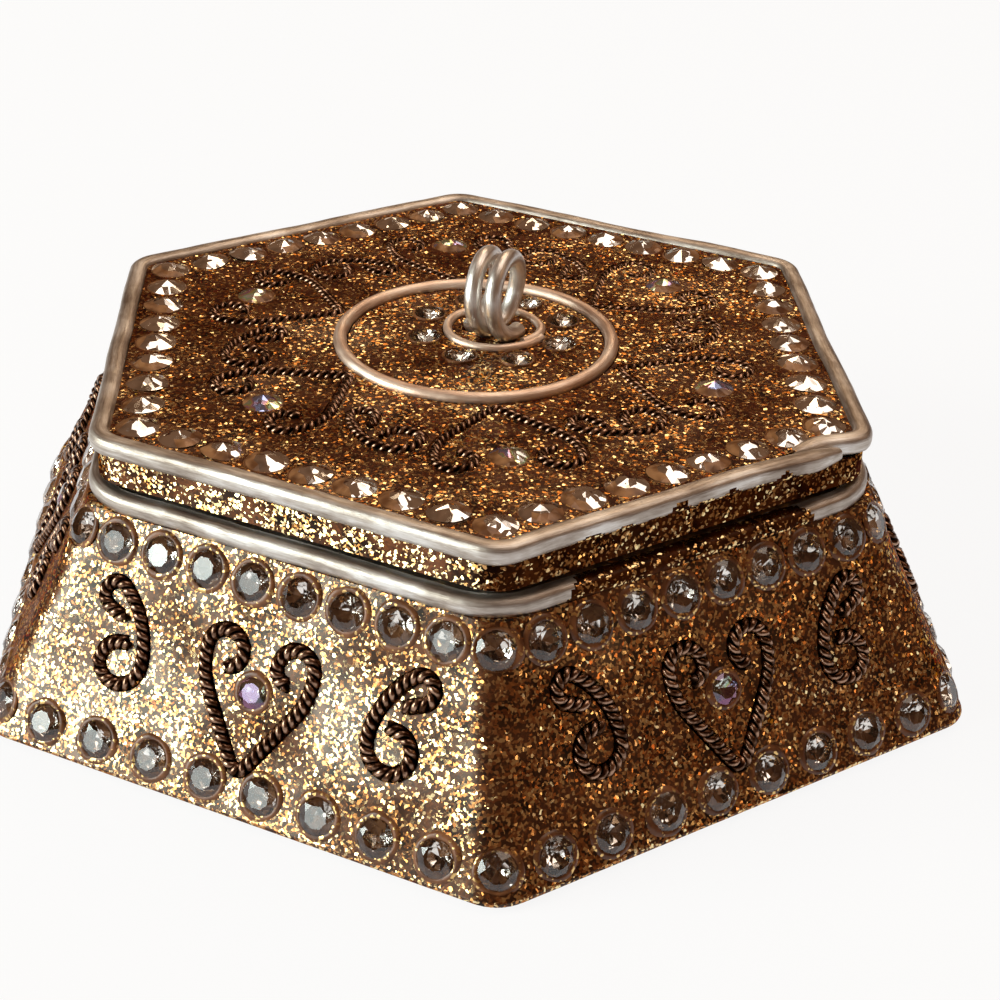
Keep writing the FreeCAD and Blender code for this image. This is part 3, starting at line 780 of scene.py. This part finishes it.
def lay_lid_rope(node, line, right, up, bearing):
    """A scroll of the lid, sunk deepest towards the back right, where the lac closes over most of it."""
    deep = (1 + math.cos(bearing - math.radians(deepest_bearing))) / 2
    drop = cad_rope / 2 - cad_rope_above + least_sink + (most_sink - least_sink) * deep
    line = fit_line(line, mesh_points(node), lid_middle, right, up, 0, cad_rope)
    start = lid_middle - drop * upward
    rope = twisted(line, lid_rope_width, start, right, up, upward, rope_luck, drop - bank_low)
    lay_rope(node, [rope], "lid")


for middle, _, _ in places_of("lid_aurora_stones"):
    bearing = math.atan2(middle[1] - lid_middle[1], middle[0] - lid_middle[0])
    number = round((math.degrees(bearing) - first_horn_bearing) / side_turn) % 6 + 1
    node = "lid_horn_%d" % number
    up = numpy.array((math.cos(bearing), math.sin(bearing), 0))
    right = numpy.array((up[1], -up[0], 0))
    lay_lid_rope(node, horn_line(lid_opening), right, up, bearing)
    node = "lid_curl_%d" % number
    bearing -= math.radians(side_turn / 2)
    right = -numpy.array((math.cos(bearing), math.sin(bearing), 0))
    up = numpy.cross(upward, right)
    lay_lid_rope(node, curl_line(1), right, up, bearing)

# Rings and knob
# Two rings of soft aluminium wire lie bedded in the lid's lac round its middle. The knob is one wire wound
# twice round and stood on edge, with its lower bend and its two cut ends in the lac.

ring_points, ring_around = 220, 12
ring_sway, ring_rise = 0.14 * mm, 0.06 * mm
ring_mean, ring_dents = 0.97, 0.06
ring_end_share = 1 / 8


def lid_ring(name, gap_bearing, overlap_degrees, luck):
    """A ring where the CAD ring of that name is, its ends lying past each other or meeting at a gap."""
    low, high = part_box(name)
    thickness = high.z - low.z
    radius = (high.x - low.x - thickness) / 2
    swing = numpy.radians(gap_bearing + numpy.linspace(0, 360 + overlap_degrees, ring_points))
    past = numpy.linspace(0, 1, ring_points)
    at_start = numpy.clip(1 - past / ring_end_share, 0, 1)
    at_end = numpy.clip(1 - (1 - past) / ring_end_share, 0, 1)
    apart = thickness / 2 * (at_start - at_end)
    if overlap_degrees < 0:
        apart *= 0
    reach = radius + waver(ring_points, ring_sway, (1, 2, 3, 5), luck) - apart
    height = (low.z + high.z) / 2 + waver(ring_points, ring_rise, (2, 3, 5), luck)
    points = numpy.column_stack((
        (low.x + high.x) / 2 + reach * numpy.cos(swing),
        (low.y + high.y) / 2 + reach * numpy.sin(swing),
        height))
    radii = thickness / 2 * (ring_mean + waver(ring_points, ring_dents, (7, 12, 19, 29), luck))
    lay_wire("bent_" + name, name, points, upward, radii, ring_around, reflection_tinted_ring_finish, "lid")


# The rings get a peach copy of the same aluminium: the peach is a painted reflection of the warm room.
reflection_tinted_ring_finish = bright_wire("ring_wire", (
    (0.38, (0.62, 0.44, 0.34)), (0.5, (0.84, 0.66, 0.54)), (0.62, (0.95, 0.86, 0.78))), 0.4)
lid_ring("lid_outer_ring", 116, -1, random.Random(2))
lid_ring("lid_inner_ring", -20, 24, random.Random(4))

# The knob gets a lighter, smoother copy of the same aluminium: its lighter tone is painted light.
brightened_knob_finish = bright_wire("knob_wire", (
    (0.38, (0.56, 0.51, 0.47)), (0.5, (0.78, 0.74, 0.70)), (0.62, (0.93, 0.91, 0.89))), 0.28)
knob_turns = 2
knob_wire = 1.45 * mm
knob_pitch = 1.95 * mm
knob_sway = 0.07 * mm
knob_mean, knob_dents = 0.98, 0.03
knob_end_share, knob_end_points = 0.4, 8
knob_points, knob_around = 260, 18
knob_luck = random.Random(6)
low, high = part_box("knob_coil")
knob_radius = (high.z - low.z - knob_wire) / 2
swing = numpy.linspace(0, 2 * math.pi * knob_turns, knob_points)
lead = knob_pitch / (2 * math.pi)
coil = numpy.column_stack((
    (low.x + high.x) / 2 + lead * (swing - math.pi * knob_turns),
    (low.y + high.y) / 2 + knob_radius * numpy.sin(swing),
    (low.z + high.z) / 2 - knob_radius * numpy.cos(swing)))
coil += numpy.column_stack([waver(knob_points, knob_sway, (1, 2, 3), knob_luck) for _ in range(3)])
ends = numpy.linspace(0, knob_end_share * knob_wire, knob_end_points)[1:, None] * numpy.array((0, 1, 0))
coil = numpy.vstack(((coil[0] - ends)[::-1], coil, coil[-1] + ends))
radii = knob_wire / 2 * (knob_mean + waver(len(coil), knob_dents, (5, 9, 14), knob_luck))
sideways = numpy.array((1.0, 0, 0))
lay_wire("wound_knob", "knob_coil", coil, sideways, radii, knob_around, brightened_knob_finish, "lid")

# Floor and light
# A plain white table in a dim warm room. Two cool windows light the front left, a third warmer one the back,
# a wide soft lamp hangs overhead, and a small warm bulb stands at the right.

floor_reach = 3
glow_share = 0.9
floor_mesh = bpy.data.meshes.new("floor")
floor_mesh.from_pydata([
    (-floor_reach, -floor_reach, 0), (floor_reach, -floor_reach, 0),
    (floor_reach, floor_reach, 0), (-floor_reach, floor_reach, 0)], [], [(0, 1, 2, 3)])
floor = bpy.data.objects.new("floor", floor_mesh)
bpy.context.scene.collection.objects.link(floor)
white, paint = new_finish("white_table")
ray = paint.add("LightPath")
seen = paint.maths("MAXIMUM", ray.out("Is Camera Ray"), ray.out("Is Glossy Ray"))
seen = paint.maths("MAXIMUM", seen, ray.out("Is Transmission Ray"))
matt = paint.add("BsdfDiffuse", {}, {"Color": (0.86, 0.86, 0.86, 1)})
glow = paint.add("Emission", {}, {"Color": (1, 1, 1, 1), "Strength": 1})
both = paint.add("MixShader", {}, {0: glow_share * seen, 1: matt, 2: glow})
paint.add("OutputMaterial", {}, {"Surface": both})
floor_mesh.materials.append(white)

world = bpy.data.worlds.new("room")
world.use_nodes = True
room = world.node_tree.nodes["Background"]
room.inputs["Color"].default_value = (1, 0.5, 0.26, 1)
room.inputs["Strength"].default_value = 0.15
bpy.context.scene.world = world


def lamp(name, bearing, elevation, distance, width, height, radiance, colour):
    """A soft rectangular lamp that looks at the box, of a brightness seen in a mirror."""
    light = bpy.data.lights.new(name, "AREA")
    light.shape = "RECTANGLE"
    light.size, light.size_y = width, height
    light.energy = radiance * math.pi * width * height
    light.color = colour
    holder = bpy.data.objects.new(name, light)
    bpy.context.scene.collection.objects.link(holder)
    a, e = math.radians(bearing), math.radians(elevation)
    back = Vector((math.cos(a) * math.cos(e), math.sin(a) * math.cos(e), math.sin(e)))
    holder.location = back * distance
    holder.rotation_euler = back.to_track_quat("Z", "Y").to_euler()


lamp("window", -139, 21, 0.8, 0.42, 0.48, 10.4, (0.9, 1, 0.95))
lamp("low_window", -115, 9, 0.8, 0.3, 0.19, 5.4, (0.9, 1, 0.97))
lamp("ceiling", 60, 72, 1.0, 0.7, 0.7, 2.2, (1, 0.86, 0.72))
lamp("back_window", 110, 46, 0.9, 0.3, 0.22, 4.5, (1, 0.74, 0.48))
lamp("warm_bulb", 18, 36, 0.9, 0.13, 0.13, 4.5, (1, 0.6, 0.32))

# Camera
# Looks down at the front corner from a hand's length away, close enough that the near corner is clearly
# larger than the far one, and held a little askew.

azimuth, elevation, roll = math.radians(25.8), math.radians(29.146), math.radians(1.858)
target = Vector((4.436, -3.505, 11.36)) * mm
distance = 175 * mm
frame_width = 36
lens = 74.412
back = Vector((
    math.sin(azimuth) * math.cos(elevation), -math.cos(azimuth) * math.cos(elevation), math.sin(elevation)))
level = Vector((math.cos(azimuth), math.sin(azimuth), 0))
upright = back.cross(level)
right = level * math.cos(roll) + upright * math.sin(roll)
up = upright * math.cos(roll) - level * math.sin(roll)
camera_data = bpy.data.cameras.new("camera")
camera_data.sensor_width = frame_width
camera_data.lens = lens
camera_data.clip_start = 10 * mm
camera = bpy.data.objects.new("camera", camera_data)
bpy.context.scene.collection.objects.link(camera)
turned = Matrix((right, up, back)).transposed().to_4x4()
camera.matrix_world = Matrix.Translation(target + back * distance) @ turned
bpy.context.scene.camera = camera
bpy.context.scene.view_settings.view_transform = "Standard"
